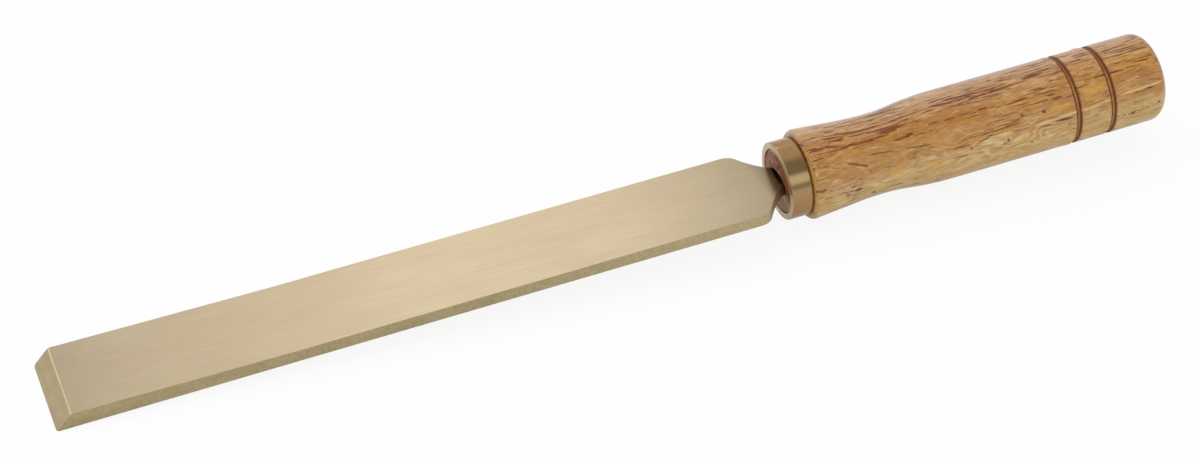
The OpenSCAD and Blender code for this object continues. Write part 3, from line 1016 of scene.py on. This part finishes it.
def end_grain():
    """Bare end grain round the tang, brown and full of pores, with painted shade towards the
    camera and painted light low down."""
    n = new_material("end_grain")
    pores = n.noise((300, 1500, 1500), detail=3, roughness=0.6)
    clouds = n.noise((100, 320, 320), detail=3)
    _, y, z = n.split(n.place((1, 1, 1)))
    # Painted shade towards the camera and painted light low down
    near = n.math("SUBTRACT", n.math("MULTIPLY", z, 0.45), y)
    low = n.spread(z, *GRAIN_PAINTED_LIGHT)
    near = n.math("MULTIPLY", n.spread(near, *GRAIN_PAINTED_SHADE), n.math("SUBTRACT", 1.0, low))
    tone = n.mix(n.spread(clouds, 0.35, 0.65), rgb(148, 106, 78), rgb(134, 88, 56))
    tone = n.mix(low, tone, rgb(188, 152, 122))
    tone = n.mix(near, tone, rgb(128, 70, 30))
    tone = n.mix(n.spread(pores, 0.5, 0.6, 0.0, 0.85), tone, rgb(80, 42, 26))
    flecks = n.spread(pores, 0.44, 0.3, 0.0, 0.7)
    flecks = n.math("MULTIPLY", flecks, n.spread(near, 0, 1, 1, 0.15))
    tone = n.mix(flecks, tone, rgb(212, 176, 144))
    normal = n.bump(pores, 0.5, 0.1 * MM)
    return n.finish(tone, 0.7, normal)


def floor_material():
    """Pale floor that keeps the shadow: most of it is plain to the camera and in mirrors."""
    n = new_material("floor")
    n.finish((FLOOR_TONE, FLOOR_TONE, FLOOR_TONE, 1), 0.9, Specular_IOR_Level=0.1)
    path = n.add("ShaderNodeLightPath")
    seen = path.outputs["Is Camera Ray"]
    mirrored = path.outputs["Is Glossy Ray"]
    glow = n.add("ShaderNodeEmission")
    level = n.math("ADD", seen, n.math("MULTIPLY", mirrored, FLOOR_MIRRORED))
    n.link(level, glow.inputs["Strength"])
    share = n.math("MULTIPLY", mirrored, FLOOR_MIRRORED_SHARE)
    share = n.math("ADD", n.math("MULTIPLY", seen, FLOOR_GLOW), share)
    plain = n.tree.nodes["Principled BSDF"].outputs["BSDF"]
    surface = n.choose(share, plain, glow.outputs["Emission"])
    n.link(surface, n.tree.nodes["Material Output"].inputs["Surface"])
    return n.owner


# Studio

# The floor's own tone, the share of it that is plain to the camera and in mirrors, how
# bright it is in mirrors, where 1 is white, and its size
FLOOR_TONE = 0.85
FLOOR_GLOW = 0.9
FLOOR_MIRRORED_SHARE = 0.5
FLOOR_MIRRORED = 0.85
FLOOR_SIZE = 12
# The light from all round that falls on what is dull, and the lamp over the tool: its
# direction, its distance, its side and its brightness
EVEN_LIGHT = 0.9
LAMP_AIM = (-0.2, 0.3, 1.0)
LAMP_AWAY = 1.6
LAMP_SIDE = 1.6
LAMP_LEVEL = 0.9
# What metal and varnish mirror: a room's brightness by angle from overhead towards the
# camera, with a long lamp on the camera's side. The ramp holds it as a share of ROOM_TOP,
# and ROOM_TONE is the grey that all of it is multiplied by.
ROOM = [
    (-180, 1.0), (-30, 1.0), (-6, 0.93), (10, 0.48), (44, 0.45), (52, 1.5), (72, 1.5),
    (77, 0.6), (180, 0.6),
]
ROOM_TOP = 1.7
ROOM_TONE = 0.8
# How far along the tool a direction must point to see the room's white ends
ROOM_ENDS = (0.6, 0.9)
# Two glows behind the tool in the same mirrored room: direction, reach in degrees and
# brightness
GLOWS = [((0.155, 0.78, 0.6), 8.5, 1.0), ((-0.4, 0.78, 0.48), 16, 1.0)]


def add_floor():
    mesh = bpy.data.meshes.new("floor")
    half = FLOOR_SIZE / 2
    corners = [(-half, -half, 0), (half, -half, 0), (half, half, 0), (-half, half, 0)]
    mesh.from_pydata(corners, [], [(0, 1, 2, 3)])
    floor = bpy.data.objects.new("floor", mesh)
    bpy.context.scene.collection.objects.link(floor)
    mesh.materials.append(floor_material())


def add_lamp():
    """A square lamp that faces the middle of the tool. It isn't mirrored, because the room
    already is."""
    data = bpy.data.lights.new("top_fill", "AREA")
    data.shape = "SQUARE"
    data.size = LAMP_SIDE
    data.energy = LAMP_LEVEL * math.pi * LAMP_SIDE ** 2
    lamp = bpy.data.objects.new("top_fill", data)
    bpy.context.scene.collection.objects.link(lamp)
    away = Vector(LAMP_AIM).normalized()
    lamp.location = away * LAMP_AWAY
    lamp.rotation_euler = away.to_track_quat("Z", "Y").to_euler()
    lamp.visible_glossy = False


def room_level(n):
    """How bright the mirrored room is in each direction: dark and light by the angle about
    the tool's axis, white towards its ends, and the glows."""
    direction = n.add("ShaderNodeTexCoord").outputs["Generated"]
    x, y, z = n.split(direction)
    lean = n.math("ARCTAN2", n.math("MULTIPLY", y, -1), z)
    ramp = n.add("ShaderNodeValToRGB")
    n.link(n.spread(lean, -math.pi, math.pi), ramp.inputs["Fac"])
    stops = ramp.color_ramp.elements
    for index, (angle, level) in enumerate(ROOM):
        place = (angle + 180) / 360
        stop = stops[index] if index < 2 else stops.new(place)
        stop.position = place
        stop.color = (level / ROOM_TOP, level / ROOM_TOP, level / ROOM_TOP, 1)
    level = n.math("MULTIPLY", ramp.outputs["Color"], ROOM_TOP)
    ends = n.spread(n.math("ABSOLUTE", x, 0), *ROOM_ENDS)
    short = n.math("SUBTRACT", 1.0, level)
    level = n.math("ADD", level, n.math("MULTIPLY", ends, short))
    for aim, reach, strength in GLOWS:
        dot = n.add("ShaderNodeVectorMath", operation="DOT_PRODUCT")
        n.link(direction, dot.inputs[0])
        dot.inputs[1].default_value = Vector(aim).normalized()
        edge = math.cos(math.radians(reach))
        lobe = n.spread(dot.outputs["Value"], edge, 1, 0, strength, smooth_step=True)
        level = n.math("ADD", level, lobe)
    return level


def add_world():
    """White to the camera, even light for all that is dull, and a room of its own for
    reflections."""
    world = bpy.data.worlds.new("studio")
    bpy.context.scene.world = world
    world.use_nodes = True
    n = Nodes(world)
    even = n.tree.nodes["Background"]
    white, room = (n.add("ShaderNodeBackground") for _ in range(2))
    lights = [(even, 1, EVEN_LIGHT), (white, 1, 1), (room, ROOM_TONE, room_level(n))]
    for light, tone, level in lights:
        light.inputs["Color"].default_value = (tone, tone, tone, 1)
        n.put(light.inputs["Strength"], level)
    path = n.add("ShaderNodeLightPath")
    even, white, room = (light.outputs["Background"] for light in (even, white, room))
    seen = n.choose(path.outputs["Is Camera Ray"], even, white)
    all_rays = n.choose(path.outputs["Is Glossy Ray"], seen, room)
    n.link(all_rays, n.tree.nodes["World Output"].inputs["Surface"])


def add_camera():
    data = bpy.data.cameras.new("camera")
    data.sensor_width = SENSOR_W
    data.lens = CAMERA_LENS
    data.clip_start = CLIP_START
    camera = bpy.data.objects.new("camera", data)
    bpy.context.scene.collection.objects.link(camera)
    turn = Matrix.Rotation(math.radians(CAMERA_ROLL), 3, "Z")
    for axis, angle in zip("XYZ", CAMERA_TURN):
        turn = Matrix.Rotation(math.radians(angle), 3, axis) @ turn
    camera.matrix_world = TOOL @ Matrix.Translation(CAMERA_AT) @ turn.to_4x4()
    bpy.context.scene.camera = camera


def main():
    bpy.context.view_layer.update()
    add_camera()
    add_world()
    add_lamp()
    add_floor()
    make_blade()
    make_ferrule()
    make_handle()
    bpy.context.scene.view_settings.view_transform = "Standard"


main()
